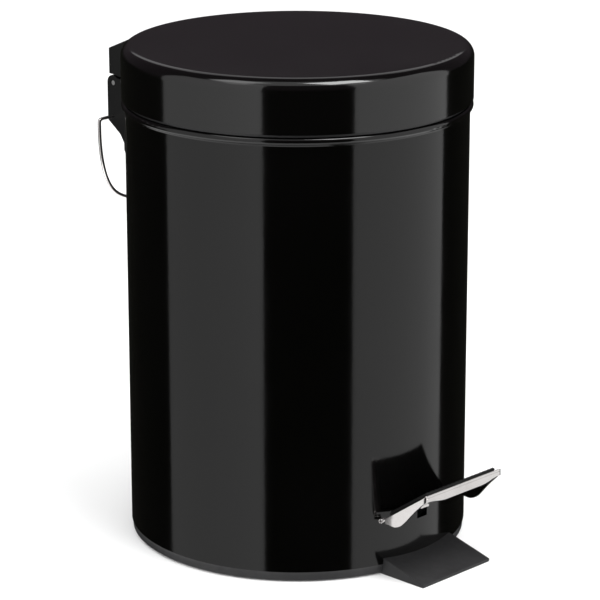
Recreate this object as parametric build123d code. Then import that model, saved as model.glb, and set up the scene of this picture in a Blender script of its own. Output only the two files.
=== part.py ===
from build123d import *
from math import atan2, cos, sin, sqrt
import os

# Pedal bin, 3 litre class. Millimetres, +Z up. The origin is on the can's axis at floor level,
# -Y is the front with the pedal, +Y is the rear with the lid hinge.

# ---- can and lid sheet -------------------------------------------------------------------
BODY_R = 84.0              # outside radius of the can
SHEET = 0.6                # sheet thickness of can and lid
BODY_BOTTOM_Z = 5.2        # lower edge of the can, on top of the base ring
BEAD_Z = 217.3             # centre height of the rolled bead round the can's mouth
BEAD_R = 1.9               # radius of the bead's section
FLARE_LOW_Z = 214.9        # cone that widens the can's wall into the bead
FLARE_TOP_Z = 216.2
FLARE_TOP_R = 85.1
LID_R = 85.65              # outside radius of the lid's skirt
LID_EDGE_Z = 220.6         # lower edge of the skirt
LID_HEM_H = 3.0            # height of the hem, folded inwards along that edge
LID_TOP_Z = 246.5          # flat top of the lid
LID_ROUND = 5.6            # rounding between top and skirt
SEAT_GAP = 0.05            # between two pieces that sit against each other

# ---- base moulding -----------------------------------------------------------------------
FLOOR_LOW_Z = 1.2          # underside of the base's floor, above the ring it stands on
FLOOR_TOP_Z = 3.2          # top of the base's floor
STAND_RING_R = 78.0        # inner radius of the ring it stands on
STAND_FOOT_R = 82.0        # its outer radius at the floor; it widens upwards to the can's radius
STAND_EDGE_R = 0.6         # rounding of its lower outer edge
SPIGOT_OUT_R = 83.35       # collar that plugs into the can
SPIGOT_IN_R = 80.8
SPIGOT_TOP_Z = 15.0
FOOT_FRONT_Y = -106.6      # front edge of the anti-tip foot under the pedal
FOOT_FRONT_HALF = 24.3
FOOT_BACK_HALF = 24.0
FOOT_BACK_Y = -78.0
FOOT_FRONT_Z = 1.5
FOOT_BACK_Z = 8.2
FOOT_CREST = 3.0           # level strip at the top of the foot's slope
NOTCH_HALF = 10.0          # gap in the collar, for the lever's rear end
RIB_COUNT = 8              # ribs under the base's floor
RIB_IN_R = 20.0
RIB_HALF = 1.0
RIB_LOW_Z = 0.2

# ---- pedal and its lever -----------------------------------------------------------------
PIVOT_Y = -66.0            # pedal pivot, just inside the can's front wall
PIVOT_Z = 20.0
PIVOT_R = 2.0
RUNNING_CLEARANCE = 0.06   # radial, every shaft that turns in a hole
PEDAL_HALF = 28.0          # half of the pedal's width
PEDAL_REAR_Y = -85.0
PEDAL_REAR_Z = 31.0
PEDAL_FRONT_Y = -110.6
PEDAL_FRONT_Z = 48.6
PEDAL_SHEET = 1.2
PEDAL_FRONT_LIP = 4.6      # height of the folded front edge
LIP_NOTCH = 2.0            # how far the front edge's lower corners are cut back, and over what width
LIP_NOTCH_WIDTH = 12.0
FLANGE_EDGE = ((-107.3, 42.6), (-101.1, 35.9), (-95.7, 30.3), (-91.2, 28.3), (-87.0, 28.0))
                           # lower edge of the two side flanges, (y, z) from front to rear
FLANGE_END_Y = -83.0       # where the flanges run into the curls
FLANGE_END_LOW_Z = 28.1
FLANGE_END_TOP_Z = 29.9
FLANGE_LEAN = 14.0         # degrees that the flanges lean outwards
CURL_Y = -82.2             # small open curls at the pedal's two rear corners
CURL_Z = 28.9
CURL_R = 1.4
CURL_BORE_R = 0.7
CURL_IN_X = 25.0
CURL_OUT_X = 28.4
TONGUE_HALF = 3.0          # tongue of the pedal sheet that enters the can
TONGUE_LOW_Z = 29.2
TONGUE_REAR_Y = -68.0
SLOT_LOW_Z = 24.0          # slot in the can for the tongue
SLOT_TOP_Z = 31.4
SLOT_HALF = 3.5
PAD_HALF = 25.0
PAD_THICK = 2.0
PAD_MARGIN = 1.4
PAD_CORNER = 2.5
PAD_EDGE = 0.5
LEVER_HALF = 7.0           # half width of the channel-section lever
LEVER_SHEET = 1.2
LEVER_FRONT_Y = -80.0
LEVER_REAR_Y = 82.0
LEVER_TOP_Z = 10.5         # top face of the long rear run, level at rest
LEVER_KNEE_Y = -46.0       # foot of the slope between the pivot and the rear run
CHEEK_EDGE = ((82.0, 7.0), (72.0, 4.7), (-50.0, 4.7), (-59.0, 14.0), (-72.5, 14.0), (-80.0, 24.5))
                           # lower edge of the lever's two cheeks, (y, z) from rear to front
PEDAL_RIVET_YS = (-77.0, -71.6)
RIVET_R = 1.5
RIVET_HEAD_R = 3.0
RIVET_HEAD_H = 1.1
PEDAL_RIVET_HEAD_R = 2.6
LUG_IN_X = 8.2             # pivot lugs on the base floor
LUG_OUT_X = 11.7
LUG_R = 6.0
LUG_FOOT_HALF = 9.0
PIN_HALF = 13.6
CLIP_IN_X = 12.0
CLIP_THICK = 0.8
CLIP_OUT_R = 3.9
CLIP_MOUTH_HALF = 1.5
PIN_CHAMFER = 0.3

# ---- lid hinge ---------------------------------------------------------------------------
HINGE_Y = 106.6            # hinge pin axis
HINGE_Z = 214.2
HINGE_PIN_R = 1.5
HINGE_PIN_HALF = 23.7
BARREL_R = 4.0
HINGE_HALF = 24.0          # half width of the two hinge mouldings
SHOULDER_HALF = 25.5       # wider block next to the can
HINGE_REAR_Y = 110.6
KNUCKLE_HALF = 9.2         # lid knuckle, between the two cheeks
KNUCKLE_GAP = 0.4
SCREW_X = 14.0
SCREW_ZS = (176.0, 206.0)
SCREW_HEAD_Y = 80.0        # inner end of the screw heads
SCREW_HEAD_H = 1.5
SCREW_RECESS = 0.8         # depth of the cross recess
SCREW_RECESS_HALF = 1.8    # half length and half width of its two slots
SCREW_SLOT_HALF = 0.35
SCREW_END_Y = 95.0
LID_RIVET_X = 12.0
LID_RIVET_Z = 232.0
LID_RIVET_HEAD_Y = 81.2
LID_RIVET_SHANK_Y = 82.4
LID_RIVET_END_Y = 94.0
COVER_OUTLINE = ((78.0, 245.3), (110.6, 231.3), (110.6, 218.95), (106.6, 218.75),
                 (98.0, 217.6), (86.0, 215.9), (78.0, 215.9))      # lid's hinge moulding, (y, z)
COVER_ROUND = 2.5
COVER_STEP_Z = 222.4       # below this the cover clears the lid's hem by more
COVER_STEP = 0.95
HINGE_TOP = ((78.0, 214.4), (86.0, 214.4), (97.3, 216.6))         # can's hinge moulding, (y, z)
HINGE_CROWN = ((103.5, 217.0), (106.6, 216.5))
HINGE_BACK = ((110.6, 214.2), (110.6, 194.8), (105.2, 191.0), (101.7, 188.4), (100.0, 186.0))
HINGE_LOW = ((97.3, 181.2), (93.0, 173.0), (84.0, 168.0), (78.0, 168.0))
KNUCKLE_POCKET = (99.5, 207.0)          # y and z from which the knuckle's pocket is open
CORE_POCKET_HALF = 9.5                  # hollow in the moulding below the knuckle
CORE_POCKET = (80.0, 108.0, 184.0, 203.0)
COVER_POCKET = (11.0, 21.0, 89.0, 108.0, 210.0, 228.0)             # hollows in the lid's moulding

# ---- horn and push rod -------------------------------------------------------------------
HORN_X = -3.2              # mid plane of the horn plate
HORN_THICK = 1.6
FOOT_EYE_Y = 79.4          # eye that carries the push rod, at rest
FOOT_EYE_Z = 193.3
FOOT_EYE_R = 3.2
HORN_ARM = ((98.0, 228.5), (80.0, 228.5), (74.6, 223.0), (76.3, 193.3), (82.4, 193.3), (81.0, 212.0),
            (81.0, 219.2), (82.8, 221.4), (97.0, 221.4))           # (y, z), over the can's mouth
HORN_FLANGE_HALF = 17.0    # flange riveted inside the lid's skirt
HORN_FLANGE_IN_R = 83.85
HORN_FLANGE_LOW_Z = 224.0
HORN_FLANGE_TOP_Z = 239.0
ROD_R = 1.5
ROD_END_X = -7.0
SHOE_R = 3.2
SHOE_TOP_Z = 22.0
SHOE_GAP = 0.6             # between the shoe and the lever at rest
SHOE_ROUND = 1.0
SHOE_SOCKET_Z = 13.5       # lower end of the rod, inside the shoe
ROD_BEND = 2.2
GUIDE_LOW_Z = 70.0
GUIDE_TOP_Z = 78.0
GUIDE_HALF = 5.2           # loop round the rod, outside
GUIDE_FRONT_Y = 69.0
GUIDE_SHEET = 0.8
GUIDE_TAB_X = 13.0         # end of the tabs welded to the can

# ---- inner bucket ------------------------------------------------------------------------
BUCKET_LOW_Z = 53.0
BUCKET_LOW_R = 66.0
BUCKET_TOP_R = 79.5
BUCKET_WALL = 1.2
BUCKET_FLOOR = 1.5
RIM_LOW_Z = 219.25
RIM_TOP_Z = 220.15
RIM_R = 84.0
CHANNEL_HALF = 9.5         # channel at the rear that leaves room for the rod
CHANNEL_Y = 68.2
FINGER_HOLE_R = 9.0
FINGER_HOLE_Z = 201.0

# ---- carrying bail -----------------------------------------------------------------------
BAIL_Y = 107.0
BAIL_Z = 196.8
BAIL_R = 0.9
BAIL_IN_X = 17.0           # where the wire ends inside the hinge moulding
BAIL_ROUTE = ((33.2, 196.8), (32.3, 178.0), (26.8, 159.0), (12.0, 152.0))
BAIL_BENDS = (2.6, 45.0, 24.0, 20.0)
BEYOND = 1.0               # how far a cutting shape runs past what it cuts


# ---- shared shapes -----------------------------------------------------------------------
def block(x0, x1, y0, y1, z0, z1):
    """Box between two corners."""
    centre = Pos((x0 + x1) / 2, (y0 + y1) / 2, (z0 + z1) / 2)
    return centre * Box(x1 - x0, y1 - y0, z1 - z0)


def prism_x(points, x0, x1):
    """Closed (y, z) outline, extruded from x0 to x1."""
    face = Plane.YZ.offset(x0) * make_face(Polyline(*points, close=True))
    return extrude(face, amount=x1 - x0)


def rod_x(y, z, radius, x0, x1):
    """Cylinder along X."""
    return Pos((x0 + x1) / 2, y, z) * Rot(0, 90, 0) * Cylinder(radius, x1 - x0)


def rod_y(x, z, radius, y0, y1):
    """Cylinder along Y."""
    return Pos(x, (y0 + y1) / 2, z) * Rot(90, 0, 0) * Cylinder(radius, y1 - y0)


def rod_z(x, y, radius, z0, z1):
    """Cylinder along Z."""
    return Pos(x, y, (z0 + z1) / 2) * Cylinder(radius, z1 - z0)


def ring(inner_r, outer_r, z0, z1):
    """Ring round the can's axis."""
    return rod_z(0, 0, outer_r, z0, z1) - rod_z(0, 0, inner_r, z0 - BEYOND, z1 + BEYOND)


def tapered(low_r, top_r, z0, z1):
    """Cone frustum on the can's axis."""
    return Pos(0, 0, (z0 + z1) / 2) * Cone(low_r, top_r, z1 - z0)


def both_sides(shape):
    """The shape and its mirror image in the plane x = 0."""
    return shape + mirror(shape, about=Plane.YZ)


# ---- can ---------------------------------------------------------------------------------
def body_shell():
    """Painted steel can: a tube with a rolled bead, a pedal slot and hinge screw holes."""
    shell = ring(BODY_R - SHEET, BODY_R, BODY_BOTTOM_Z, BEAD_Z)
    flare = tapered(BODY_R, FLARE_TOP_R, FLARE_LOW_Z, FLARE_TOP_Z)
    shell += flare - rod_z(0, 0, BODY_R - SHEET / 2, FLARE_LOW_Z - BEYOND, FLARE_TOP_Z + BEYOND)
    shell += Pos(0, 0, BEAD_Z) * Torus(BODY_R - SHEET / 2, BEAD_R)
    shell -= block(-SLOT_HALF, SLOT_HALF, -BODY_R - BEYOND, 1 - BODY_R, SLOT_LOW_Z, SLOT_TOP_Z)
    return shell - screw_holes()


def screw_holes():
    """Holes for the four hinge screws, through the can and into the hinge moulding."""
    holes = [both_sides(rod_y(SCREW_X, z, RIVET_R, SCREW_HEAD_Y, SCREW_END_Y)) for z in SCREW_ZS]
    return Compound(children=holes)


def foot():
    """Flat wedge in front of the can that stops it tipping when the pedal is pressed."""
    side = prism_x([(FOOT_BACK_Y, 0), (FOOT_FRONT_Y, 0), (FOOT_FRONT_Y, FOOT_FRONT_Z),
                    (FOOT_BACK_Y - FOOT_CREST, FOOT_BACK_Z), (FOOT_BACK_Y, FOOT_BACK_Z)],
                   -FOOT_FRONT_HALF, FOOT_FRONT_HALF)
    plan = make_face(Polyline((-FOOT_FRONT_HALF, FOOT_FRONT_Y), (FOOT_FRONT_HALF, FOOT_FRONT_Y),
                              (FOOT_BACK_HALF, FOOT_BACK_Y), (-FOOT_BACK_HALF, FOOT_BACK_Y),
                              close=True))
    wedge = side & extrude(plan, amount=FOOT_BACK_Z + BEYOND)
    return wedge - rod_z(0, 0, BODY_R + SEAT_GAP, BODY_BOTTOM_Z, FOOT_BACK_Z + BEYOND)


def pivot_lug():
    """Upright lug on the base floor that holds the pedal's pivot pin."""
    low = (FLOOR_LOW_Z + FLOOR_TOP_Z) / 2
    lug = prism_x([(PIVOT_Y - LUG_FOOT_HALF, low), (PIVOT_Y + LUG_FOOT_HALF, low),
                   (PIVOT_Y + LUG_R, PIVOT_Z), (PIVOT_Y - LUG_R, PIVOT_Z)], LUG_IN_X, LUG_OUT_X)
    lug += rod_x(PIVOT_Y, PIVOT_Z, LUG_R, LUG_IN_X, LUG_OUT_X)
    return lug - rod_x(PIVOT_Y, PIVOT_Z, PIVOT_R, LUG_IN_X - BEYOND, LUG_OUT_X + BEYOND)


def base():
    """Plastic base: standing ring, floor, collar, anti-tip foot and pivot lugs."""
    skirt = tapered(STAND_FOOT_R, BODY_R, 0, BODY_BOTTOM_Z)
    skirt = fillet(skirt.edges().group_by(Axis.Z)[0], STAND_EDGE_R)
    solid = skirt - rod_z(0, 0, STAND_RING_R, -BEYOND, BODY_BOTTOM_Z + BEYOND)
    solid += rod_z(0, 0, SPIGOT_OUT_R - SHEET, FLOOR_LOW_Z, FLOOR_TOP_Z)
    solid += ring(SPIGOT_IN_R, SPIGOT_OUT_R, FLOOR_LOW_Z, SPIGOT_TOP_Z)
    solid += foot()
    solid -= block(-NOTCH_HALF, NOTCH_HALF, STAND_RING_R - BEYOND, BODY_R, BODY_BOTTOM_Z,
                   SPIGOT_TOP_Z + BEYOND)
    rib = block(RIB_IN_R, STAND_RING_R + BEYOND, -RIB_HALF, RIB_HALF, RIB_LOW_Z,
                (FLOOR_LOW_Z + FLOOR_TOP_Z) / 2)
    for i in range(RIB_COUNT):
        solid += Rot(0, 0, 360 / RIB_COUNT * (i + 0.5)) * rib
    return solid + both_sides(pivot_lug())


# ---- lid ---------------------------------------------------------------------------------
def lid_shell():
    """Painted steel lid: flat top, rounded edge, skirt with a folded hem."""
    outer = rod_z(0, 0, LID_R, LID_EDGE_Z, LID_TOP_Z)
    outer = fillet(outer.edges().group_by(Axis.Z)[-1], LID_ROUND)
    inner = rod_z(0, 0, LID_R - SHEET, LID_EDGE_Z - BEYOND, LID_TOP_Z - SHEET)
    inner = fillet(inner.edges().group_by(Axis.Z)[-1], LID_ROUND - SHEET)
    shell = outer - inner
    shell += ring(LID_R - 2 * SHEET, LID_R - SHEET, LID_EDGE_Z, LID_EDGE_Z + LID_HEM_H)
    shell -= horn_slot()
    return shell - lid_rivet_shanks()


def horn_slot():
    """Room for the horn plate through the lid's skirt and the hinge moulding."""
    half = HORN_THICK / 2 + SEAT_GAP
    return block(HORN_X - half, HORN_X + half, FOOT_EYE_Y, HINGE_REAR_Y + BEYOND,
                 HINGE_Z - BARREL_R - BEYOND, HORN_ARM[0][1] + BEYOND)


def lid_rivet_shanks():
    shank = rod_y(LID_RIVET_X, LID_RIVET_Z, RIVET_R, LID_RIVET_SHANK_Y, LID_RIVET_END_Y)
    return both_sides(shank)


def lid_hinge():
    """Hinge moulding on the lid: sloping cover and the middle knuckle."""
    cover = prism_x(COVER_OUTLINE, -HINGE_HALF, HINGE_HALF)
    upright = cover.edges().filter_by(Axis.Z).group_by(Axis.Y)[-1]
    cover = fillet(upright, COVER_ROUND)
    cover -= rod_z(0, 0, LID_R + SEAT_GAP, COVER_STEP_Z, LID_TOP_Z + BEYOND)
    cover -= rod_z(0, 0, LID_R + COVER_STEP, HINGE_Z, COVER_STEP_Z)
    cover -= both_sides(block(*COVER_POCKET))
    web_top = COVER_OUTLINE[2][1] + BEYOND
    web = prism_x([(HINGE_Y - BARREL_R, HINGE_Z), (HINGE_Y + BARREL_R, HINGE_Z),
                   (HINGE_Y + BARREL_R, web_top), (HINGE_Y - BARREL_R, web_top)],
                  -KNUCKLE_HALF, KNUCKLE_HALF)
    knuckle = rod_x(HINGE_Y, HINGE_Z, BARREL_R, -KNUCKLE_HALF, KNUCKLE_HALF) + web
    bore = rod_x(HINGE_Y, HINGE_Z, HINGE_PIN_R + RUNNING_CLEARANCE, -HINGE_HALF, HINGE_HALF)
    return cover + knuckle - bore - horn_slot() - lid_rivet_shanks()


def lid_rivets():
    """Two rivets through horn flange, skirt and hinge moulding."""
    head = rod_y(LID_RIVET_X, LID_RIVET_Z, RIVET_HEAD_R, LID_RIVET_HEAD_Y, LID_RIVET_SHANK_Y)
    return both_sides(head) + lid_rivet_shanks()


def horn():
    """Stamped steel horn: turns with the lid, reaches over the can's mouth to the push rod."""
    half = HORN_THICK / 2
    x0 = HORN_X - half
    x1 = HORN_X + half
    outline = [(HINGE_Y, HINGE_Z + BARREL_R), *HORN_ARM, (HINGE_Y - BARREL_R, HINGE_Z)]
    plate = prism_x(outline, x0, x1)
    plate += rod_x(HINGE_Y, HINGE_Z, BARREL_R, x0, x1)
    plate += rod_x(FOOT_EYE_Y, FOOT_EYE_Z, FOOT_EYE_R, x0, x1)
    sector = block(-HORN_FLANGE_HALF, HORN_FLANGE_HALF, FOOT_EYE_Y, LID_R, HORN_FLANGE_LOW_Z,
                   HORN_FLANGE_TOP_Z)
    flange = ring(HORN_FLANGE_IN_R, LID_R - SHEET - 2 * SEAT_GAP, HORN_FLANGE_LOW_Z, HORN_FLANGE_TOP_Z)
    solid = plate + (flange & sector)
    solid -= rod_x(HINGE_Y, HINGE_Z, HINGE_PIN_R + RUNNING_CLEARANCE, x0 - BEYOND, x1 + BEYOND)
    solid -= rod_x(FOOT_EYE_Y, FOOT_EYE_Z, ROD_R + RUNNING_CLEARANCE, x0 - BEYOND, x1 + BEYOND)
    return solid - lid_rivet_shanks()


# ---- hinge on the can --------------------------------------------------------------------
def body_hinge():
    """Hinge moulding on the can: two cheeks with barrels, and the sockets of the bail."""
    solid = prism_x(HINGE_TOP + HINGE_CROWN + HINGE_BACK + HINGE_LOW, -HINGE_HALF, HINGE_HALF)
    solid += rod_x(HINGE_Y, HINGE_Z, BARREL_R, -HINGE_HALF, HINGE_HALF)
    solid += prism_x(HINGE_TOP + HINGE_LOW, -SHOULDER_HALF, SHOULDER_HALF)
    solid -= rod_z(0, 0, BODY_R + SEAT_GAP / 2, HINGE_LOW[-1][1] - BEYOND, BEAD_Z + BEYOND)
    pocket_y, pocket_z = KNUCKLE_POCKET
    pocket_half = KNUCKLE_HALF + KNUCKLE_GAP
    solid -= block(-pocket_half, pocket_half, pocket_y, HINGE_REAR_Y + BEYOND, pocket_z,
                   BEAD_Z + BARREL_R)
    solid -= block(-CORE_POCKET_HALF, CORE_POCKET_HALF, *CORE_POCKET)
    solid -= rod_x(HINGE_Y, HINGE_Z, HINGE_PIN_R, -HINGE_HALF - BEYOND, HINGE_HALF + BEYOND)
    socket = rod_x(BAIL_Y, BAIL_Z, BAIL_R + SEAT_GAP, BAIL_IN_X - SEAT_GAP * 10, HINGE_HALF + BEYOND)
    return solid - both_sides(socket) - screw_holes()


def hinge_pin():
    """Steel pin through both cheeks and the lid's knuckle."""
    pin = rod_x(HINGE_Y, HINGE_Z, HINGE_PIN_R, -HINGE_PIN_HALF, HINGE_PIN_HALF)
    return chamfer(pin.edges(), PIN_CHAMFER)


def hinge_screws():
    """Four screws from inside the can into the hinge moulding."""
    screws = []
    shank_y = SCREW_HEAD_Y + SCREW_HEAD_H
    slot_y0 = SCREW_HEAD_Y - BEYOND
    slot_y1 = SCREW_HEAD_Y + SCREW_RECESS
    long, thin = SCREW_RECESS_HALF, SCREW_SLOT_HALF
    for x in (-SCREW_X, SCREW_X):
        for z in SCREW_ZS:
            screw = rod_y(x, z, RIVET_HEAD_R, SCREW_HEAD_Y, shank_y)
            screw += rod_y(x, z, RIVET_R, shank_y, SCREW_END_Y)
            screw -= block(x - long, x + long, slot_y0, slot_y1, z - thin, z + thin)
            screw -= block(x - thin, x + thin, slot_y0, slot_y1, z - long, z + long)
            screws.append(screw)
    return Compound(children=screws)


def carry_bail():
    """Wire bail, hanging down behind the can."""
    right = [(BAIL_IN_X, BAIL_Z)] + list(BAIL_ROUTE)
    points = [(x, BAIL_Y, z) for x, z in right]
    points += [(-x, BAIL_Y, z) for x, z in reversed(right)]
    path = FilletPolyline(*points, radius=list(BAIL_BENDS) + list(reversed(BAIL_BENDS)))
    start = Plane(origin=points[0], z_dir=(1, 0, 0))
    return sweep(start * Circle(BAIL_R), path=path)


# ---- pedal -------------------------------------------------------------------------------
def pedal_plane():
    """Plane on the pedal's top face: origin at its rear edge, local -y runs to the front."""
    rise = PEDAL_FRONT_Z - PEDAL_REAR_Z
    run = PEDAL_REAR_Y - PEDAL_FRONT_Y
    tilt = atan2(rise, run)
    return Plane(origin=(0, PEDAL_REAR_Y, PEDAL_REAR_Z), x_dir=(1, 0, 0),
                 z_dir=(0, sin(tilt), cos(tilt)))


def pedal_length():
    return sqrt((PEDAL_FRONT_Z - PEDAL_REAR_Z) ** 2 + (PEDAL_REAR_Y - PEDAL_FRONT_Y) ** 2)


def side_flange():
    """Lobed flange down the pedal's right side, leaning outwards, with its small open curl."""
    low_front = (PEDAL_FRONT_Y, PEDAL_FRONT_Z - PEDAL_FRONT_LIP + LIP_NOTCH)
    outline = Line((PEDAL_REAR_Y, PEDAL_REAR_Z), (PEDAL_FRONT_Y, PEDAL_FRONT_Z))
    outline += Line((PEDAL_FRONT_Y, PEDAL_FRONT_Z), low_front)
    end_low = (FLANGE_END_Y, FLANGE_END_LOW_Z)
    end_top = (FLANGE_END_Y, FLANGE_END_TOP_Z)
    outline += Spline(low_front, *FLANGE_EDGE, end_low)
    outline += Line(end_low, end_top)
    outline += Line(end_top, (PEDAL_REAR_Y, PEDAL_REAR_Z))
    face = Plane.YZ.offset(PEDAL_HALF - PEDAL_SHEET) * make_face(outline)
    flange = extrude(face, amount=PEDAL_SHEET)
    run = (0, PEDAL_FRONT_Y - PEDAL_REAR_Y, PEDAL_FRONT_Z - PEDAL_REAR_Z)
    flange = flange.rotate(Axis((PEDAL_HALF, PEDAL_REAR_Y, PEDAL_REAR_Z), run), FLANGE_LEAN)
    flange += rod_x(CURL_Y, CURL_Z, CURL_R, CURL_IN_X, CURL_OUT_X)
    return flange - rod_x(CURL_Y, CURL_Z, CURL_BORE_R, CURL_IN_X - BEYOND, CURL_OUT_X + 2 * BEYOND)


def front_lip():
    """Folded front edge of the pedal, with its two lower corners cut back."""
    low = PEDAL_FRONT_Z - PEDAL_FRONT_LIP
    top = PEDAL_FRONT_Z - 0.8 * PEDAL_SHEET
    flat = PEDAL_HALF - LIP_NOTCH_WIDTH
    outline = Polyline((-PEDAL_HALF, top), (PEDAL_HALF, top), (PEDAL_HALF, low + LIP_NOTCH),
                       (flat, low), (-flat, low), (-PEDAL_HALF, low + LIP_NOTCH), close=True)
    face = Plane.XZ.offset(-PEDAL_FRONT_Y - PEDAL_SHEET) * make_face(outline)
    return extrude(face, amount=PEDAL_SHEET)


def pedal_plate():
    """Chromed sheet pedal: tilted plate, front lip, two lobed flanges, tongue into the can."""
    length = pedal_length()
    slab = Pos(0, -length / 2, -PEDAL_SHEET / 2) * Box(2 * PEDAL_HALF, length, PEDAL_SHEET)
    plate = pedal_plane() * slab
    plate += front_lip()
    plate += both_sides(side_flange())
    plate += block(-TONGUE_HALF, TONGUE_HALF, PEDAL_REAR_Y - 0.75 * PEDAL_SHEET, TONGUE_REAR_Y,
                   TONGUE_LOW_Z, TONGUE_LOW_Z + PEDAL_SHEET)
    return plate - pedal_rivet_shanks()


def pedal_pad():
    """Black tread pad on the pedal's top face."""
    length = pedal_length() - 2 * PAD_MARGIN
    pad = Box(2 * PAD_HALF, length, PAD_THICK)
    pad = fillet(pad.edges().filter_by(Axis.Z), PAD_CORNER)
    pad = fillet(pad.faces().sort_by(Axis.Z)[-1].edges(), PAD_EDGE)
    return pedal_plane() * Pos(0, -pedal_length() / 2, PAD_THICK / 2) * pad


def pedal_lever():
    """Channel-section steel lever from the pedal's tongue to the foot of the push rod."""
    top = [(LEVER_FRONT_Y, TONGUE_LOW_Z), (PIVOT_Y, TONGUE_LOW_Z), (LEVER_KNEE_Y, LEVER_TOP_Z),
           (LEVER_REAR_Y, LEVER_TOP_Z)]
    under = [(LEVER_REAR_Y, LEVER_TOP_Z - LEVER_SHEET),
             (LEVER_KNEE_Y - LEVER_SHEET / 2, LEVER_TOP_Z - LEVER_SHEET),
             (PIVOT_Y - LEVER_SHEET / 2, TONGUE_LOW_Z - LEVER_SHEET),
             (LEVER_FRONT_Y, TONGUE_LOW_Z - LEVER_SHEET)]
    web = prism_x(top + under, -LEVER_HALF, LEVER_HALF)
    cheek = prism_x([*top, *CHEEK_EDGE], LEVER_HALF - LEVER_SHEET, LEVER_HALF)
    lever = web + both_sides(cheek)
    bore_half = LEVER_HALF + BEYOND
    lever -= rod_x(PIVOT_Y, PIVOT_Z, PIVOT_R + RUNNING_CLEARANCE, -bore_half, bore_half)
    return lever - pedal_rivet_shanks()


def pedal_rivet_shanks():
    low = TONGUE_LOW_Z - LEVER_SHEET - RIVET_HEAD_H
    high = TONGUE_LOW_Z + PEDAL_SHEET + RIVET_HEAD_H
    return Compound(children=[rod_z(0, y, RIVET_R, low, high) for y in PEDAL_RIVET_YS])


def pedal_rivets():
    """Two rivets that join tongue and lever."""
    low = TONGUE_LOW_Z - LEVER_SHEET
    high = TONGUE_LOW_Z + PEDAL_SHEET
    rivets = []
    for y in PEDAL_RIVET_YS:
        rivet = rod_z(0, y, RIVET_R, low - RIVET_HEAD_H, high + RIVET_HEAD_H)
        rivet += rod_z(0, y, PEDAL_RIVET_HEAD_R, high, high + RIVET_HEAD_H)
        rivet += rod_z(0, y, PEDAL_RIVET_HEAD_R, low - RIVET_HEAD_H, low)
        rivets.append(rivet)
    return Compound(children=rivets)


def pivot_pin():
    """Steel pin that the pedal lever turns on."""
    pin = rod_x(PIVOT_Y, PIVOT_Z, PIVOT_R, -PIN_HALF, PIN_HALF)
    return chamfer(pin.edges(), PIN_CHAMFER)


def pivot_clips():
    """Two open retaining clips on the ends of the pivot pin."""
    clip = rod_x(PIVOT_Y, PIVOT_Z, CLIP_OUT_R, CLIP_IN_X, CLIP_IN_X + CLIP_THICK)
    x0 = CLIP_IN_X - BEYOND
    x1 = CLIP_IN_X + CLIP_THICK + BEYOND
    clip -= rod_x(PIVOT_Y, PIVOT_Z, PIVOT_R, x0, x1)
    clip -= block(x0, x1, PIVOT_Y - CLIP_MOUTH_HALF, PIVOT_Y + CLIP_MOUTH_HALF, PIVOT_Z,
                  PIVOT_Z + CLIP_OUT_R + BEYOND)
    return Compound(children=[clip, mirror(clip, about=Plane.YZ)])


# ---- push rod ----------------------------------------------------------------------------
def push_rod():
    """Vertical wire rod; its bent upper end turns in the horn's eye."""
    path = FilletPolyline((0, FOOT_EYE_Y, SHOE_SOCKET_Z), (0, FOOT_EYE_Y, FOOT_EYE_Z),
                          (ROD_END_X, FOOT_EYE_Y, FOOT_EYE_Z), radius=ROD_BEND)
    start = Plane(origin=(0, FOOT_EYE_Y, SHOE_SOCKET_Z), z_dir=(0, 0, 1))
    return sweep(start * Circle(ROD_R), path=path)


def rod_clip():
    """Push-on washer that keeps the rod's bent end in the horn's eye."""
    inner_x = HORN_X - HORN_THICK / 2 - KNUCKLE_GAP
    outer_x = inner_x - CLIP_THICK
    clip = rod_x(FOOT_EYE_Y, FOOT_EYE_Z, FOOT_EYE_R, outer_x, inner_x)
    return clip - rod_x(FOOT_EYE_Y, FOOT_EYE_Z, ROD_R, outer_x - BEYOND, inner_x + BEYOND)


def rod_shoe():
    """Plastic shoe on the rod's lower end, which the lever lifts."""
    low = LEVER_TOP_Z + SHOE_GAP
    shoe = fillet(rod_z(0, FOOT_EYE_Y, SHOE_R, low, SHOE_TOP_Z).edges(), SHOE_ROUND)
    return shoe - rod_z(0, FOOT_EYE_Y, ROD_R, SHOE_SOCKET_Z, SHOE_TOP_Z + BEYOND)


def rod_guide():
    """Steel strap welded to the rear wall, which keeps the rod's lower half in line."""
    wall_r = BODY_R - SHEET - SEAT_GAP / 2
    inside = GUIDE_HALF - GUIDE_SHEET
    loop = block(-GUIDE_HALF, GUIDE_HALF, GUIDE_FRONT_Y, wall_r, GUIDE_LOW_Z, GUIDE_TOP_Z)
    loop -= block(-inside, inside, GUIDE_FRONT_Y + GUIDE_SHEET, BODY_R, GUIDE_LOW_Z - BEYOND,
                  GUIDE_TOP_Z + BEYOND)
    tabs = ring(wall_r - GUIDE_SHEET, wall_r, GUIDE_LOW_Z, GUIDE_TOP_Z)
    tabs = tabs & both_sides(block(inside, GUIDE_TAB_X, GUIDE_FRONT_Y, BODY_R, GUIDE_LOW_Z, GUIDE_TOP_Z))
    return (loop & rod_z(0, 0, wall_r, GUIDE_LOW_Z, GUIDE_TOP_Z)) + tabs


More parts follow.
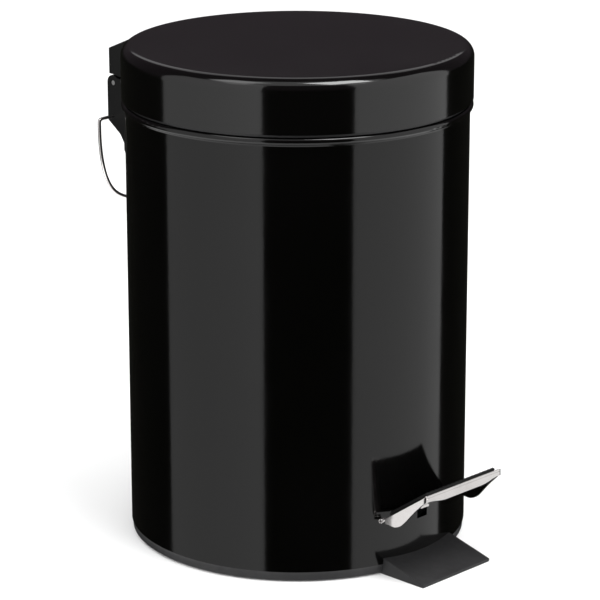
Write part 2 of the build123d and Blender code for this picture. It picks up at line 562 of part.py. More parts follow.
# ---- inner bucket ------------------------------------------------------------------------
def inner_bucket():
    """Lift-out plastic bucket that hangs by its rim, with a rear channel for the push rod."""
    channel = block(-CHANNEL_HALF, CHANNEL_HALF, CHANNEL_Y, RIM_R + BEYOND, 0, LID_TOP_Z)
    wall_half = CHANNEL_HALF + BUCKET_WALL
    wall_y = CHANNEL_Y - BUCKET_WALL
    outer = tapered(BUCKET_LOW_R, BUCKET_TOP_R, BUCKET_LOW_Z, RIM_LOW_Z)
    rim = ring(BUCKET_TOP_R - 2 * BUCKET_WALL, RIM_R, RIM_LOW_Z, RIM_TOP_Z)
    bridge = block(-wall_half, wall_half, wall_y, RIM_R, RIM_LOW_Z - BUCKET_WALL, RIM_TOP_Z)
    bridge = bridge & rod_z(0, 0, BUCKET_TOP_R, BUCKET_LOW_Z, LID_TOP_Z)
    inner = tapered(BUCKET_LOW_R - BUCKET_WALL, BUCKET_TOP_R - BUCKET_WALL,
                    BUCKET_LOW_Z + BUCKET_FLOOR, RIM_TOP_Z + BEYOND)
    inner -= block(-wall_half, wall_half, wall_y, RIM_R + BEYOND, 0, LID_TOP_Z)
    bucket = outer + rim + bridge - inner - channel
    holes = rod_x(0, FINGER_HOLE_Z, FINGER_HOLE_R, BUCKET_LOW_R, BODY_R)
    return bucket - both_sides(holes)


PARTS = {
    "body_shell": body_shell,
    "base": base,
    "body_hinge": body_hinge,
    "hinge_screws": hinge_screws,
    "hinge_pin": hinge_pin,
    "lid_shell": lid_shell,
    "lid_hinge": lid_hinge,
    "lid_rivets": lid_rivets,
    "lid_horn": horn,
    "pedal_plate": pedal_plate,
    "pedal_pad": pedal_pad,
    "pedal_lever": pedal_lever,
    "pedal_rivets": pedal_rivets,
    "pivot_pin": pivot_pin,
    "pivot_clips": pivot_clips,
    "push_rod": push_rod,
    "rod_clip": rod_clip,
    "rod_shoe": rod_shoe,
    "rod_guide": rod_guide,
    "inner_bucket": inner_bucket,
    "carry_bail": carry_bail,
}

os.makedirs("parts", exist_ok=True)
for node, make in PARTS.items():
    export_step(make(), f"parts/{node}.step")
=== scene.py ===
import math

import bmesh
import bpy
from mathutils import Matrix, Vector


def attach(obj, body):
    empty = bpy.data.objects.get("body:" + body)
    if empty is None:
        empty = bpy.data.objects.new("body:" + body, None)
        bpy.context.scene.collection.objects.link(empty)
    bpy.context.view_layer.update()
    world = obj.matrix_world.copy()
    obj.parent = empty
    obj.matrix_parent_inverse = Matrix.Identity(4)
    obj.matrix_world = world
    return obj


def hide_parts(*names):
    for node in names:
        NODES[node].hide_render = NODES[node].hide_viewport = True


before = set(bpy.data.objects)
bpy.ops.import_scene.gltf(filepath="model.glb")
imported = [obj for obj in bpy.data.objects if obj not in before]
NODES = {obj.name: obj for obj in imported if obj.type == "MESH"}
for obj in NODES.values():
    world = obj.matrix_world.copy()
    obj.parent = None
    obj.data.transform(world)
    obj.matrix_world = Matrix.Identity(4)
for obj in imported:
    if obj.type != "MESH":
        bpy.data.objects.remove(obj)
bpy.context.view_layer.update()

MM = 0.001

# ------------------------------------------------------------------ camera and studio
VIEW_AZIMUTH = math.radians(-46.0)      # the camera stands to the left of the pedal side
CAMERA_DISTANCE = 1.3695                # from the can's axis, along the floor
CAMERA_HEIGHT = 0.5266
CAMERA_PITCH = math.radians(16.67)      # looks down by this much
CAMERA_ROLL = math.radians(0.06)
CAMERA_LENS = 172.8
CAMERA_SENSOR = 36.0
CAMERA_SHIFT_X = 0.0054
CAMERA_CLIP = (0.05, 50.0)

SOFTBOX_RADIANCE = 0.86
SOFTBOX_DISTANCE = 1.3
SOFTBOX_LOW, SOFTBOX_HIGH = -1.6, 1.7   # the floor isn't seen in reflections, so these pass it
LEFT_SOFTBOX = (-94.0, -22.0)           # edges, in degrees from the camera's side of the bin
RIGHT_SOFTBOX = (36.0, 110.0)
LEFT_FADE = (0.62, 1.0)                 # brightness at the outer and the inner edge
RIGHT_FADE = (0.9, 1.0)
OVERHEAD_DISTANCE = 1.3
OVERHEAD_AIM = 0.2                      # height on the bin's axis that they face
OVERHEAD_LIGHTS = (                     # name, width, height, radiance, direction, elevation
    ("front_panel", 2.0, 0.9, 0.7, 0, 66),
    ("key_right", 0.55, 0.55, 8.0, 44, 63),
    ("key_left", 0.5, 0.45, 1.8, -58, 60),
    ("back_panel", 0.8, 0.7, 0.42, 180, 34),
)
GLOSS_LEVELS = (                        # what gloss sees besides the lights, from straight down to up
    (0.20, (1.0, 1.0, 1.0)),
    (0.25, (0.012, 0.012, 0.010)),
    (0.49, (0.012, 0.012, 0.010)),
    (0.58, (0.058, 0.049, 0.055)),
)
PEDAL_CARD_SIZE = (1.3, 1.8)
PEDAL_CARD_RADIANCE = 0.4
PEDAL_CARD_ANGLE = -94.0
PEDAL_CARD_DISTANCE = 0.9
FLOOR_HALF = 6.0
FLOOR_COLOUR = (0.95, 0.95, 0.95, 1)
FLOOR_ROUGHNESS = 0.8
WHITE = (1, 1, 1, 1)


def facing(angle):
    """Level direction from the bin, angle in radians to the right of the camera's direction."""
    towards = Vector((math.sin(VIEW_AZIMUTH), -math.cos(VIEW_AZIMUTH), 0))
    right = Vector((math.cos(VIEW_AZIMUTH), math.sin(VIEW_AZIMUTH), 0))
    return towards * math.cos(angle) + right * math.sin(angle)


def add_camera():
    data = bpy.data.cameras.new("camera")
    data.lens = CAMERA_LENS
    data.sensor_width = CAMERA_SENSOR
    data.shift_x = CAMERA_SHIFT_X
    data.clip_start, data.clip_end = CAMERA_CLIP
    camera = bpy.data.objects.new("camera", data)
    bpy.context.collection.objects.link(camera)
    camera.location = facing(0) * CAMERA_DISTANCE + Vector((0, 0, CAMERA_HEIGHT))
    camera.rotation_euler = (math.pi / 2 - CAMERA_PITCH, CAMERA_ROLL, VIEW_AZIMUTH)
    bpy.context.scene.camera = camera


def place_light(light, angle, elevation, distance, height=0.0):
    """Stands a light at a direction from the bin and turns its face to the bin."""
    level = facing(math.radians(angle))
    rise = math.radians(elevation)
    towards = level * math.cos(rise) + Vector((0, 0, math.sin(rise)))
    light.location = towards * distance + Vector((0, 0, height))
    light.rotation_euler = towards.to_track_quat("Z", "Y").to_euler()
    light.visible_camera = False


def area_light(name, width, height, radiance, fade=None):
    """Rectangular light of even radiance, or one that fades from its left to its right edge."""
    data = bpy.data.lights.new(name, "AREA")
    data.shape = "RECTANGLE"
    data.size, data.size_y = width, height
    data.energy = radiance * math.pi * width * height
    if fade:
        data.use_nodes = True
        nodes, links = data.node_tree.nodes, data.node_tree.links
        across = nodes.new("ShaderNodeNewGeometry")
        split = nodes.new("ShaderNodeSeparateXYZ")
        level = nodes.new("ShaderNodeMapRange")
        level.inputs["To Min"].default_value = fade[0]
        level.inputs["To Max"].default_value = fade[1]
        links.new(across.outputs["Parametric"], split.inputs[0])
        links.new(split.outputs["X"], level.inputs["Value"])
        links.new(level.outputs["Result"], nodes["Emission"].inputs["Strength"])
    light = bpy.data.objects.new(name, data)
    bpy.context.collection.objects.link(light)
    return light


def add_softbox(name, edges, radiance, fade):
    """Tall flat softbox whose vertical edges stand at the two given angles round the bin."""
    low, high = edges
    half = math.radians((high - low) / 2)
    width = 2 * SOFTBOX_DISTANCE * math.tan(half)
    light = area_light(name, width, SOFTBOX_HIGH - SOFTBOX_LOW, radiance, fade)
    place_light(light, (low + high) / 2, 0, SOFTBOX_DISTANCE, (SOFTBOX_LOW + SOFTBOX_HIGH) / 2)


def add_overhead_lights():
    """Wide panel high over the front, two brighter lamps in front of it, and a panel behind."""
    for name, width, height, radiance, angle, elevation in OVERHEAD_LIGHTS:
        light = area_light(name, width, height, radiance)
        place_light(light, angle, elevation, OVERHEAD_DISTANCE, OVERHEAD_AIM)


def add_pedal_card(pieces):
    """Panel to the left of the bin that lights only the given pieces, the pedal's chrome."""
    card = area_light("pedal_card", *PEDAL_CARD_SIZE, PEDAL_CARD_RADIANCE)
    place_light(card, PEDAL_CARD_ANGLE, 0, PEDAL_CARD_DISTANCE)
    group = bpy.data.collections.new("pedal_card_receivers")
    for piece in pieces:
        group.objects.link(piece)
    card.light_linking.receiver_collection = group


def add_floor():
    mesh = bpy.data.meshes.new("floor")
    h = FLOOR_HALF
    mesh.from_pydata([(-h, -h, 0), (h, -h, 0), (h, h, 0), (-h, h, 0)], [], [(0, 1, 2, 3)])
    floor = bpy.data.objects.new("floor", mesh)
    bpy.context.collection.objects.link(floor)
    material = bpy.data.materials.new("floor")
    material.use_nodes = True
    shader = material.node_tree.nodes["Principled BSDF"]
    shader.inputs["Base Color"].default_value = FLOOR_COLOUR
    shader.inputs["Roughness"].default_value = FLOOR_ROUGHNESS
    shader.inputs["Specular IOR Level"].default_value = 0.0
    mesh.materials.append(material)
    floor.visible_glossy = False


def add_world():
    """White to the camera, even fill for diffuse light, and dark round the softboxes in gloss."""
    world = bpy.data.worlds.new("studio")
    bpy.context.scene.world = world
    world.use_nodes = True
    world.cycles.sampling_method = "NONE"
    nodes, links = world.node_tree.nodes, world.node_tree.links
    nodes.clear()
    out = nodes.new("ShaderNodeOutputWorld")
    path = nodes.new("ShaderNodeLightPath")
    coord = nodes.new("ShaderNodeTexCoord")
    split = nodes.new("ShaderNodeSeparateXYZ")
    ramp = nodes.new("ShaderNodeValToRGB")
    links.new(coord.outputs["Generated"], split.inputs[0])
    height = nodes.new("ShaderNodeMath")
    height.operation = "MULTIPLY_ADD"
    height.inputs[1].default_value = 0.5
    height.inputs[2].default_value = 0.5
    links.new(split.outputs["Z"], height.inputs[0])
    links.new(height.outputs[0], ramp.inputs[0])
    ramp.color_ramp.elements[0].position = GLOSS_LEVELS[0][0]
    ramp.color_ramp.elements[1].position = GLOSS_LEVELS[-1][0]
    for position, _ in GLOSS_LEVELS[1:-1]:
        ramp.color_ramp.elements.new(position)
    for element, (_, colour) in zip(ramp.color_ramp.elements, GLOSS_LEVELS):
        element.color = (*colour, 1)
    gloss = nodes.new("ShaderNodeBackground")
    links.new(ramp.outputs[0], gloss.inputs["Color"])
    fill = nodes.new("ShaderNodeBackground")
    fill.inputs["Color"].default_value = WHITE
    white = nodes.new("ShaderNodeBackground")
    white.inputs["Color"].default_value = WHITE
    mix_gloss = nodes.new("ShaderNodeMixShader")
    mix_camera = nodes.new("ShaderNodeMixShader")
    links.new(path.outputs["Is Glossy Ray"], mix_gloss.inputs[0])
    links.new(fill.outputs[0], mix_gloss.inputs[1])
    links.new(gloss.outputs[0], mix_gloss.inputs[2])
    links.new(path.outputs["Is Camera Ray"], mix_camera.inputs[0])
    links.new(mix_gloss.outputs[0], mix_camera.inputs[1])
    links.new(white.outputs[0], mix_camera.inputs[2])
    links.new(mix_camera.outputs[0], out.inputs[0])


# ------------------------------------------------------------------ materials
NOISE_LOW, NOISE_HIGH = 0.3, 0.7        # the part of a noise's range that most of it lies in
WELD_DISTANCE = 0.01 * MM


class Maker:
    """A node material under construction, with short names for the nodes that repeat."""

    def __init__(self, name, **sockets):
        self.material = bpy.data.materials.new(name)
        self.material.use_nodes = True
        self.tree = self.material.node_tree
        self.shader = self.tree.nodes["Principled BSDF"]
        self.coord = self.tree.nodes.new("ShaderNodeTexCoord")
        for socket, value in sockets.items():
            self.shader.inputs[socket.replace("_", " ")].default_value = value

    def noise(self, scale, detail, stretch=(1, 1, 1)):
        mapping = self.tree.nodes.new("ShaderNodeMapping")
        mapping.inputs["Scale"].default_value = stretch
        self.tree.links.new(self.coord.outputs["Object"], mapping.inputs[0])
        node = self.tree.nodes.new("ShaderNodeTexNoise")
        node.inputs["Scale"].default_value = scale
        node.inputs["Detail"].default_value = detail
        self.tree.links.new(mapping.outputs[0], node.inputs["Vector"])
        return node.outputs["Fac"]

    def spread(self, source, low, high):
        node = self.tree.nodes.new("ShaderNodeMapRange")
        node.inputs["From Min"].default_value = NOISE_LOW
        node.inputs["From Max"].default_value = NOISE_HIGH
        node.inputs["To Min"].default_value = low
        node.inputs["To Max"].default_value = high
        self.tree.links.new(source, node.inputs["Value"])
        return node.outputs["Result"]

    def ramp(self, source, colours):
        node = self.tree.nodes.new("ShaderNodeValToRGB")
        node.color_ramp.elements[0].position = NOISE_LOW
        node.color_ramp.elements[1].position = NOISE_HIGH
        for element, colour in zip(node.color_ramp.elements, colours):
            element.color = (*colour, 1)
        self.tree.links.new(source, node.inputs[0])
        return node.outputs[0]

    def bump(self, source, strength, distance, previous=None):
        node = self.tree.nodes.new("ShaderNodeBump")
        node.inputs["Strength"].default_value = strength
        node.inputs["Distance"].default_value = distance
        self.tree.links.new(source, node.inputs["Height"])
        if previous is not None:
            self.tree.links.new(previous, node.inputs["Normal"])
        return node.outputs[0]

    def plug(self, source, socket):
        self.tree.links.new(source, self.shader.inputs[socket])


def gloss_black_paint(name, specular):
    """Stoved gloss black enamel: faint orange peel and a trace of handling haze."""
    m = Maker(name, IOR=1.5, Specular_IOR_Level=specular)
    m.plug(m.ramp(m.noise(9, 3), ((0.0004, 0.0004, 0.0003), (0.0009, 0.0008, 0.0008))), "Base Color")
    m.plug(m.spread(m.noise(28, 4), 0.085, 0.12), "Roughness")
    m.plug(m.bump(m.noise(420, 1), 0.02, 0.0004), "Normal")
    return m.material


def chrome_plate():
    m = Maker("chrome_plate", Metallic=1.0)
    m.plug(m.ramp(m.noise(60, 3), ((0.74, 0.715, 0.705), (0.82, 0.795, 0.785))), "Base Color")
    m.plug(m.spread(m.noise(140, 4), 0.05, 0.14), "Roughness")
    m.plug(m.bump(m.noise(90, 2), 0.05, 0.0006), "Normal")
    return m.material


def moulded_plastic(name, dark, light, rough, grain, specular=0.5):
    """Moulded polypropylene with a fine spark-eroded grain."""
    m = Maker(name, IOR=1.49, Specular_IOR_Level=specular)
    m.plug(m.ramp(m.noise(35, 4), (dark, light)), "Base Color")
    m.plug(m.spread(m.noise(300, 3), rough - 0.07, rough + 0.07), "Roughness")
    coarse = m.bump(m.noise(45, 2), 0.06, 0.001)
    m.plug(m.bump(m.noise(2600, 2), grain, 0.0002, coarse), "Normal")
    return m.material


def zinc_plate():
    """Zinc-plated steel with the fine drawing lines of the sheet."""
    m = Maker("zinc_plate", Metallic=1.0)
    m.plug(m.ramp(m.noise(50, 4), ((0.50, 0.50, 0.49), (0.66, 0.66, 0.67))), "Base Color")
    m.plug(m.spread(m.noise(120, 5), 0.24, 0.42), "Roughness")
    m.plug(m.bump(m.noise(260, 3, stretch=(6, 0.4, 6)), 0.12, 0.0003), "Normal")
    return m.material


def dress(material, *names):
    for name in names:
        mesh = NODES[name].data
        mesh.materials.clear()
        mesh.materials.append(material)


def soften(name, width, segments=3, angle=35.0):
    """Rounds the sharp edges of a CAD node with modifiers; its mesh stays as it is."""
    node = NODES[name]
    weld = node.modifiers.new("weld", "WELD")
    weld.merge_threshold = WELD_DISTANCE
    bevel = node.modifiers.new("bevel", "BEVEL")
    bevel.width = width
    bevel.segments = segments
    bevel.limit_method = "ANGLE"
    bevel.angle_limit = math.radians(angle)
    bevel.use_clamp_overlap = True
    normal = node.modifiers.new("normal", "WEIGHTED_NORMAL")
    normal.keep_sharp = True


# ------------------------------------------------------------------ pedal
PEDAL_REAR = Vector((0, -85.0, 31.0)) * MM      # middle of the plate's rear edge, top face
PEDAL_FRONT = Vector((0, -110.6, 48.6)) * MM    # middle of its front edge
PEDAL_HALF = 28.0 * MM
PEDAL_SHEET = 1.2 * MM
PEDAL_CORNER = 2.2 * MM                 # corner radius in the plate's own plane
PEDAL_BEND = 0.5 * MM                   # outer radius of the bend between plate and flanges
SIDE_STEPS = 26                         # columns along each side, round a corner, and to the middle
CORNER_STEPS = 8
FRONT_STEPS = 18
BEND_STEPS = 5
FLANGE_SHARES = (0.4, 0.8, 1.0)         # heights of the rows below the bend
MERGE_DISTANCE = 0.001 * MM
PLATE_EDGE = 0.3 * MM                   # rounding of the sheet's cut edges
TONGUE_EDGE = 0.25 * MM
FLANGE_LEAN = math.radians(2.0)         # outwards
LIP_DEPTH = 5.0 * MM                    # of the front edge, in the middle
CORNER_DEPTH = 3.3 * MM                 # and at its two corners
LIP_RISE = 13.0 * MM                    # width over which it changes
FLANGE_DEPTHS = (                       # way along from the rear edge, and depth there, in mm
    (0.0, 3.0), (2.0, 3.7), (4.5, 5.3), (7.5, 7.1), (10.5, 8.0), (13.0, 8.1), (16.0, 7.4),
    (19.5, 6.0), (23.5, 4.6), (27.0, 3.7), (29.0, 3.3),
)
TONGUE_HALF = 3.0 * MM
TONGUE_TOP = 30.4 * MM
TONGUE_START = -85.9 * MM
TONGUE_END = -68.0 * MM
CURL_CENTRE = Vector((0, -82.2, 28.9)) * MM
CURL_RADIUS = 1.4 * MM
CURL_SHEET = 0.45 * MM
CURL_SPAN = (25.0 * MM, 28.4 * MM)
CURL_START = math.radians(75)
CURL_SWEEP = math.radians(315)
CURL_TIGHTENING = 0.8                   # how far it winds inwards, in sheet thicknesses
CURL_STEPS = 26
CURL_EDGE = 0.12 * MM
PAD_HALF = 25.0 * MM
PAD_MARGIN = 1.4 * MM
PAD_REAR_MARGIN = 0.3 * MM
PAD_CORNER = 1.3 * MM
PAD_CORNER_STEPS = 6
PAD_TOP = 1.4 * MM
PAD_SECTION = (                         # edge of the pad from below: height and inset, in mm
    (0.02, 0.55), (0.42, 0.55), (0.5, 0.1), (0.62, 0.0), (1.1, 0.0), (1.32, 0.07), (1.45, 0.3),
)
PAD_RIBS = 17
RIB_HALF = 0.85 * MM
RIB_HEIGHT = 0.55 * MM
RIB_STEPS = 8
RIB_FLATNESS = 1.35                     # above 1, so that the rib's round top is cut level
RIB_INSET = 1.5 * MM                    # middle of the outermost ribs, from the pad's sides
RIB_REAR, RIB_FRONT = 1.0 * MM, 0.35 * MM
RIB_REAR_END = ((0.0, 0.2), (0.3, 0.8), (0.8, 1.0))     # mm from the end, and share of the height
RIB_FRONT_END = ((0.5, 1.0), (0.15, 0.85), (0.0, 0.4))


def new_piece(name, bm, material, body, slot, *nodes):
    """Object from a bmesh that rides on a body, has a finish and stands for CAD nodes."""
    mesh = bpy.data.meshes.new(name)
    bmesh.ops.recalc_face_normals(bm, faces=bm.faces)
    bm.to_mesh(mesh)
    bm.free()
    mesh.shade_smooth()
    mesh.materials.append(material)
    piece = bpy.data.objects.new(name, mesh)
    bpy.context.collection.objects.link(piece)
    return finish_piece(piece, body, slot, *nodes)


def finish_piece(piece, body, slot, *nodes):
    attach(piece, body)
    if nodes:
        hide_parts(*nodes)
    return piece


def round_edges(piece, width, segments=2, angle=40.0):
    bevel = piece.modifiers.new("bevel", "BEVEL")
    bevel.width = width
    bevel.segments = segments
    bevel.limit_method = "ANGLE"
    bevel.angle_limit = math.radians(angle)
    piece.modifiers.new("normal", "WEIGHTED_NORMAL").keep_sharp = True


PEDAL_FORWARD = (PEDAL_FRONT - PEDAL_REAR).normalized()
PEDAL_LENGTH = (PEDAL_FRONT - PEDAL_REAR).length
PEDAL_UP = Vector((1, 0, 0)).cross(PEDAL_FORWARD)
if PEDAL_UP.z < 0:
    PEDAL_UP.negate()


def on_pedal(u, v, w=0.0):
    """Point at u to the right, v forwards along the plate and w above its top face."""
    return PEDAL_REAR + Vector((u, 0, 0)) + PEDAL_FORWARD * v + PEDAL_UP * w


def between(value, table):
    """Value of a table of (position, value) pairs, with straight runs between them."""
    for (x0, y0), (x1, y1) in zip(table, table[1:]):
        if value <= x1:
            t = max(0.0, (value - x0) / (x1 - x0))
            return y0 + (y1 - y0) * t
    return table[-1][1]


def smooth(t):
    t = min(1.0, max(0.0, t))
    return t * t * (3 - 2 * t)


def pedal_edge():
    """Half of the plate's outline, from the rear right corner to the middle of the front:
    rows of position (u, v), outward direction, depth of the flange there and its lean."""
    rows = []
    straight = PEDAL_LENGTH - PEDAL_CORNER
    for i in range(SIDE_STEPS):
        v = straight * i / SIDE_STEPS
        depth = between(v / MM, FLANGE_DEPTHS) * MM
        rows.append((PEDAL_HALF, v, 1.0, 0.0, depth, FLANGE_LEAN))
    for i in range(CORNER_STEPS + 1):
        turn = math.pi / 2 * i / CORNER_STEPS
        u = PEDAL_HALF - PEDAL_CORNER + PEDAL_CORNER * math.cos(turn)
        v = straight + PEDAL_CORNER * math.sin(turn)
        lean = FLANGE_LEAN * (1 - smooth(i / CORNER_STEPS))
        rows.append((u, v, math.cos(turn), math.sin(turn), CORNER_DEPTH, lean))
    flat = PEDAL_HALF - PEDAL_CORNER
    for i in range(1, FRONT_STEPS + 1):
        u = flat * (1 - i / FRONT_STEPS)
        depth = CORNER_DEPTH + (LIP_DEPTH - CORNER_DEPTH) * smooth((flat - u) / LIP_RISE)
        rows.append((u, PEDAL_LENGTH, 0.0, 1.0, depth, 0.0))
    return rows


def pedal_column(side, row):
    """Points from the plate's flat face over the bend and down to the flange's lower edge."""
    u, v, out_u, out_v, depth, lean = row
    inward = Vector((-side * out_u, 0, 0)) - PEDAL_FORWARD * out_v
    level = Vector((side * out_u, -out_v, 0)).normalized()
    down = level * math.sin(lean) - Vector((0, 0, 1)) * math.cos(lean)
    edge = on_pedal(side * u, v)
    points = [edge + inward * PEDAL_CORNER, edge + inward * PEDAL_BEND]
    for i in range(1, BEND_STEPS + 1):
        t = i / BEND_STEPS
        a = edge + inward * PEDAL_BEND * (1 - t)
        b = edge + down * PEDAL_BEND * t
        points.append(a * (1 - t) + b * t)
    for share in FLANGE_SHARES:
        points.append(edge + down * (PEDAL_BEND + (depth - PEDAL_BEND) * share))
    return points


def sweep_rows(bm, rows):
    """Faces between rows of points; returns the vertices of each row."""
    made = [[bm.verts.new(p) for p in row] for row in rows]
    for a, b in zip(made, made[1:]):
        for i in range(len(a) - 1):
            bm.faces.new((a[i], a[i + 1], b[i + 1], b[i]))
    return made


def face_upwards(piece):
    """Turns the mesh inside out if its largest face looks down."""
    largest = max(piece.data.polygons, key=lambda face: face.area)
    if largest.normal.z < 0:
        piece.data.flip_normals()


def thicken(piece, thickness):
    solid = piece.modifiers.new("thickness", "SOLIDIFY")
    solid.thickness = thickness
    solid.offset = -1
    solid.use_even_offset = True


def pedal_stamping(material):
    """The chromed pedal plate with its lip and lobed flanges, pressed from one sheet."""
    half = pedal_edge()
    rows = [pedal_column(1, row) for row in half]
    rows += [pedal_column(-1, row) for row in reversed(half[:-1])]
    bm = bmesh.new()
    made = sweep_rows(bm, rows)
    bm.faces.new([column[0] for column in made])
    bmesh.ops.remove_doubles(bm, verts=bm.verts, dist=MERGE_DISTANCE)
    piece = new_piece("pedal_stamping", bm, material, "pedal", "chrome", "pedal_plate")
    face_upwards(piece)
    thicken(piece, PEDAL_SHEET)
    round_edges(piece, PLATE_EDGE)
    return piece


def pedal_tongue(material):
    """Level strip of the same sheet that runs from the plate's rear edge into the can."""
    bm = bmesh.new()
    rows = []
    for y in (TONGUE_START, (TONGUE_START + TONGUE_END) / 2, TONGUE_END):
        rows.append([Vector((x, y, TONGUE_TOP)) for x in (-TONGUE_HALF, 0, TONGUE_HALF)])
    sweep_rows(bm, rows)
    piece = new_piece("pedal_tongue", bm, material, "pedal", "chrome")
    face_upwards(piece)
    thicken(piece, PEDAL_SHEET)
    round_edges(piece, TONGUE_EDGE)
    return piece


def pedal_curl(material, side):
    """Small open curl rolled from the sheet at a rear corner of the pedal."""
    inner, outer = CURL_SPAN
    bm = bmesh.new()
    rows = []
    for i in range(CURL_STEPS + 1):
        turn = CURL_START - CURL_SWEEP * i / CURL_STEPS
        radius = CURL_RADIUS - CURL_SHEET * CURL_TIGHTENING * i / CURL_STEPS
        point = CURL_CENTRE + Vector((0, -math.cos(turn), math.sin(turn))) * radius
        rows.append([point + Vector((side * x, 0, 0)) for x in (inner, (inner + outer) / 2, outer)])
    sweep_rows(bm, rows)
    name = "pedal_curl_right" if side > 0 else "pedal_curl_left"
    piece = new_piece(name, bm, material, "pedal", "chrome")
    first = piece.data.polygons[0]
    if first.normal.dot(first.center - CURL_CENTRE) < 0:
        piece.data.flip_normals()
    thicken(piece, CURL_SHEET)
    round_edges(piece, CURL_EDGE)
    return piece


def rounded_outline(half_u, v0, v1, radius, w):
    """Rounded rectangle on the pedal, as a ring of points at one height."""
    corners = ((half_u - radius, v1 - radius, 0), (-half_u + radius, v1 - radius, 1),
               (-half_u + radius, v0 + radius, 2), (half_u - radius, v0 + radius, 3))
    ring = []
    for u, v, quarter in corners:
        for i in range(PAD_CORNER_STEPS + 1):
            turn = math.pi / 2 * (quarter + i / PAD_CORNER_STEPS)
            ring.append(on_pedal(u + radius * math.cos(turn), v + radius * math.sin(turn), w))
    return ring


def tread_pad(material):
    """Black moulded pad: a groove along its foot, a rounded top edge and ribs from back to front."""
    v0, v1 = PAD_REAR_MARGIN, PEDAL_LENGTH - PAD_MARGIN
    bm = bmesh.new()
    rings = []
    for w, inset in PAD_SECTION:
        d = inset * MM
        points = rounded_outline(PAD_HALF - d, v0 + d, v1 - d, PAD_CORNER - d, w * MM)
        rings.append([bm.verts.new(p) for p in points])
    for a, b in zip(rings, rings[1:]):
        for i in range(len(a)):
            j = (i + 1) % len(a)
            bm.faces.new((a[i], a[j], b[j], b[i]))
    bm.faces.new(rings[0])
    bm.faces.new(rings[-1])
    pitch = 2 * (PAD_HALF - RIB_INSET) / (PAD_RIBS - 1)
    for k in range(PAD_RIBS):
        add_rib(bm, -PAD_HALF + RIB_INSET + pitch * k, v0 + RIB_REAR, v1 - RIB_FRONT)
    return new_piece("tread_pad", bm, material, "pedal", "pad_plastic", "pedal_pad")


def add_rib(bm, middle, v0, v1):
    """Rounded rib on the pad's top, closed at both ends."""
    stations = [(v0 + d * MM, size) for d, size in RIB_REAR_END]
    stations += [(v1 - d * MM, size) for d, size in RIB_FRONT_END]
    rows = []
    for v, size in stations:
        row = []
        for i in range(RIB_STEPS + 1):
            turn = math.pi * i / RIB_STEPS
            u = middle + RIB_HALF * math.cos(turn)
            lift = RIB_HEIGHT * size * min(1.0, RIB_FLATNESS * math.sin(turn))
            row.append(on_pedal(u, v, PAD_TOP + lift))
        rows.append(row)
    made = sweep_rows(bm, rows)
    bm.faces.new(made[0])
    bm.faces.new(made[-1])


# ------------------------------------------------------------------ carrying bail
BAIL_Y = 107.0 * MM
BAIL_R = 0.9 * MM
BAIL_BEVEL_RESOLUTION = 5
BAIL_CURVE_RESOLUTION = 10
BAIL_HALF_ROUTE = (                     # control points of the right half, (x, z) in mm
    (17.0, 196.8), (26.0, 196.8), (31.2, 196.8), (33.2, 196.4), (33.3, 193.5), (33.2, 186.0),
    (32.2, 176.0), (29.4, 165.5), (24.0, 157.2), (14.0, 152.2), (4.5, 151.9),
)


def wire_bail(material):
    """Chromed wire bail: one smooth bend from socket to socket."""
    data = bpy.data.curves.new("wire_bail", "CURVE")
    data.dimensions = "3D"
    data.bevel_depth = BAIL_R
    data.bevel_resolution = BAIL_BEVEL_RESOLUTION
    data.resolution_u = BAIL_CURVE_RESOLUTION
    data.use_fill_caps = True
    spline = data.splines.new("NURBS")
    route = list(BAIL_HALF_ROUTE) + [(-x, z) for x, z in reversed(BAIL_HALF_ROUTE)]
    spline.points.add(len(route) - 1)
    for point, (x, z) in zip(spline.points, route):
        point.co = (x * MM, BAIL_Y, z * MM, 1.0)
    spline.order_u = 3
    spline.use_endpoint_u = True
    data.materials.append(material)
    piece = bpy.data.objects.new("wire_bail", data)
    bpy.context.collection.objects.link(piece)
    return finish_piece(piece, "bail", "chrome", "carry_bail")


# ------------------------------------------------------------------ can seam
SEAM_HALF = 2.6 * MM
SEAM_LIFT = 0.22 * MM
SEAM_LOW, SEAM_HIGH = 5.4 * MM, 168.5 * MM
SEAM_FOOT = 1.0 * MM
SEAM_SINK = 0.05 * MM
SEAM_SHOULDER = 2.2                     # steepness of the seam's two sides
SEAM_STEPS = 14
CAN_R = 84.0 * MM


def can_seam(material):
    """Welded lap seam down the back of the can, below the hinge."""
    bm = bmesh.new()
    rows = []
    for z in (SEAM_LOW, SEAM_LOW + SEAM_FOOT, (SEAM_LOW + SEAM_HIGH) / 2, SEAM_HIGH):
        row = []
        for i in range(SEAM_STEPS + 1):
            t = 2 * i / SEAM_STEPS - 1
            radius = CAN_R - SEAM_SINK + SEAM_LIFT * smooth((1 - abs(t)) * SEAM_SHOULDER)
            turn = math.asin(SEAM_HALF * t / CAN_R)
            row.append(Vector((radius * math.sin(turn), radius * math.cos(turn), z)))
        rows.append(row)
    sweep_rows(bm, rows)
    return new_piece("can_seam", bm, material, "bin_body", "black_paint")


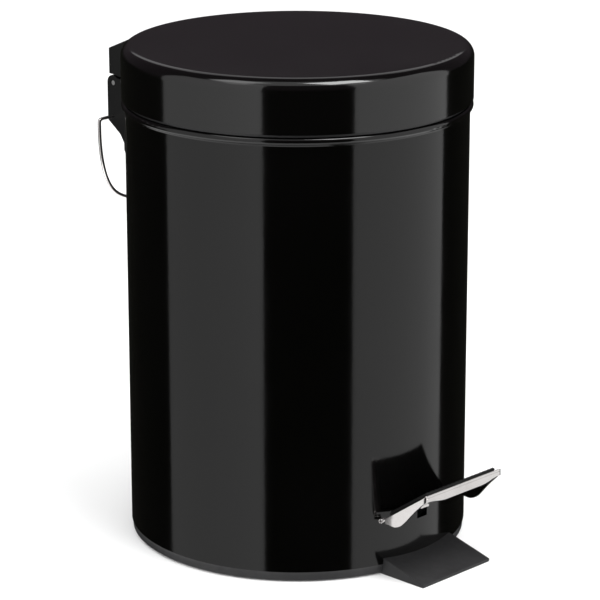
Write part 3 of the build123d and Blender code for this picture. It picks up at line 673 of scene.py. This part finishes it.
# ------------------------------------------------------------------ the bin, dressed
can_paint = gloss_black_paint("can_paint", 0.52)
lid_paint = gloss_black_paint("lid_paint", 0.72)
chrome = chrome_plate()
base_plastic = moulded_plastic("base_plastic", (0.014, 0.014, 0.015), (0.021, 0.021, 0.022),
                               0.55, 0.35)
hinge_plastic = moulded_plastic("hinge_plastic", (0.003, 0.003, 0.003), (0.006, 0.006, 0.006),
                                0.42, 0.25, 0.22)
bucket_plastic = moulded_plastic("bucket_plastic", (0.016, 0.016, 0.017), (0.022, 0.022, 0.023),
                                 0.35, 0.12)
pad_plastic = moulded_plastic("pad_plastic", (0.004, 0.004, 0.004), (0.007, 0.007, 0.007),
                              0.5, 0.3, 0.3)
nylon = moulded_plastic("natural_nylon", (0.66, 0.65, 0.60), (0.74, 0.73, 0.69), 0.35, 0.1)
zinc = zinc_plate()

dress(can_paint, "body_shell")
dress(lid_paint, "lid_shell")
dress(base_plastic, "base")
dress(hinge_plastic, "body_hinge", "lid_hinge")
dress(bucket_plastic, "inner_bucket")
dress(nylon, "rod_shoe")
dress(zinc, "hinge_screws", "hinge_pin", "lid_rivets", "lid_horn", "pedal_lever", "pedal_rivets",
      "pivot_pin", "pivot_clips", "push_rod", "rod_clip", "rod_guide")

soften("base", 0.5 * MM)
soften("body_hinge", 0.7 * MM)
soften("lid_hinge", 0.7 * MM)
soften("lid_horn", 0.2 * MM)
soften("pedal_lever", 0.25 * MM)
soften("inner_bucket", 0.3 * MM)

stamping = pedal_stamping(chrome)
pedal_tongue(chrome)
curls = [pedal_curl(chrome, side) for side in (1, -1)]
tread_pad(pad_plastic)
wire_bail(chrome)
can_seam(can_paint)

scene = bpy.context.scene
scene.view_settings.view_transform = "Standard"
add_camera()
add_world()
add_floor()
add_softbox("softbox_left", LEFT_SOFTBOX, SOFTBOX_RADIANCE, LEFT_FADE)
add_softbox("softbox_right", RIGHT_SOFTBOX, SOFTBOX_RADIANCE, RIGHT_FADE)
add_overhead_lights()
add_pedal_card([stamping, *curls])
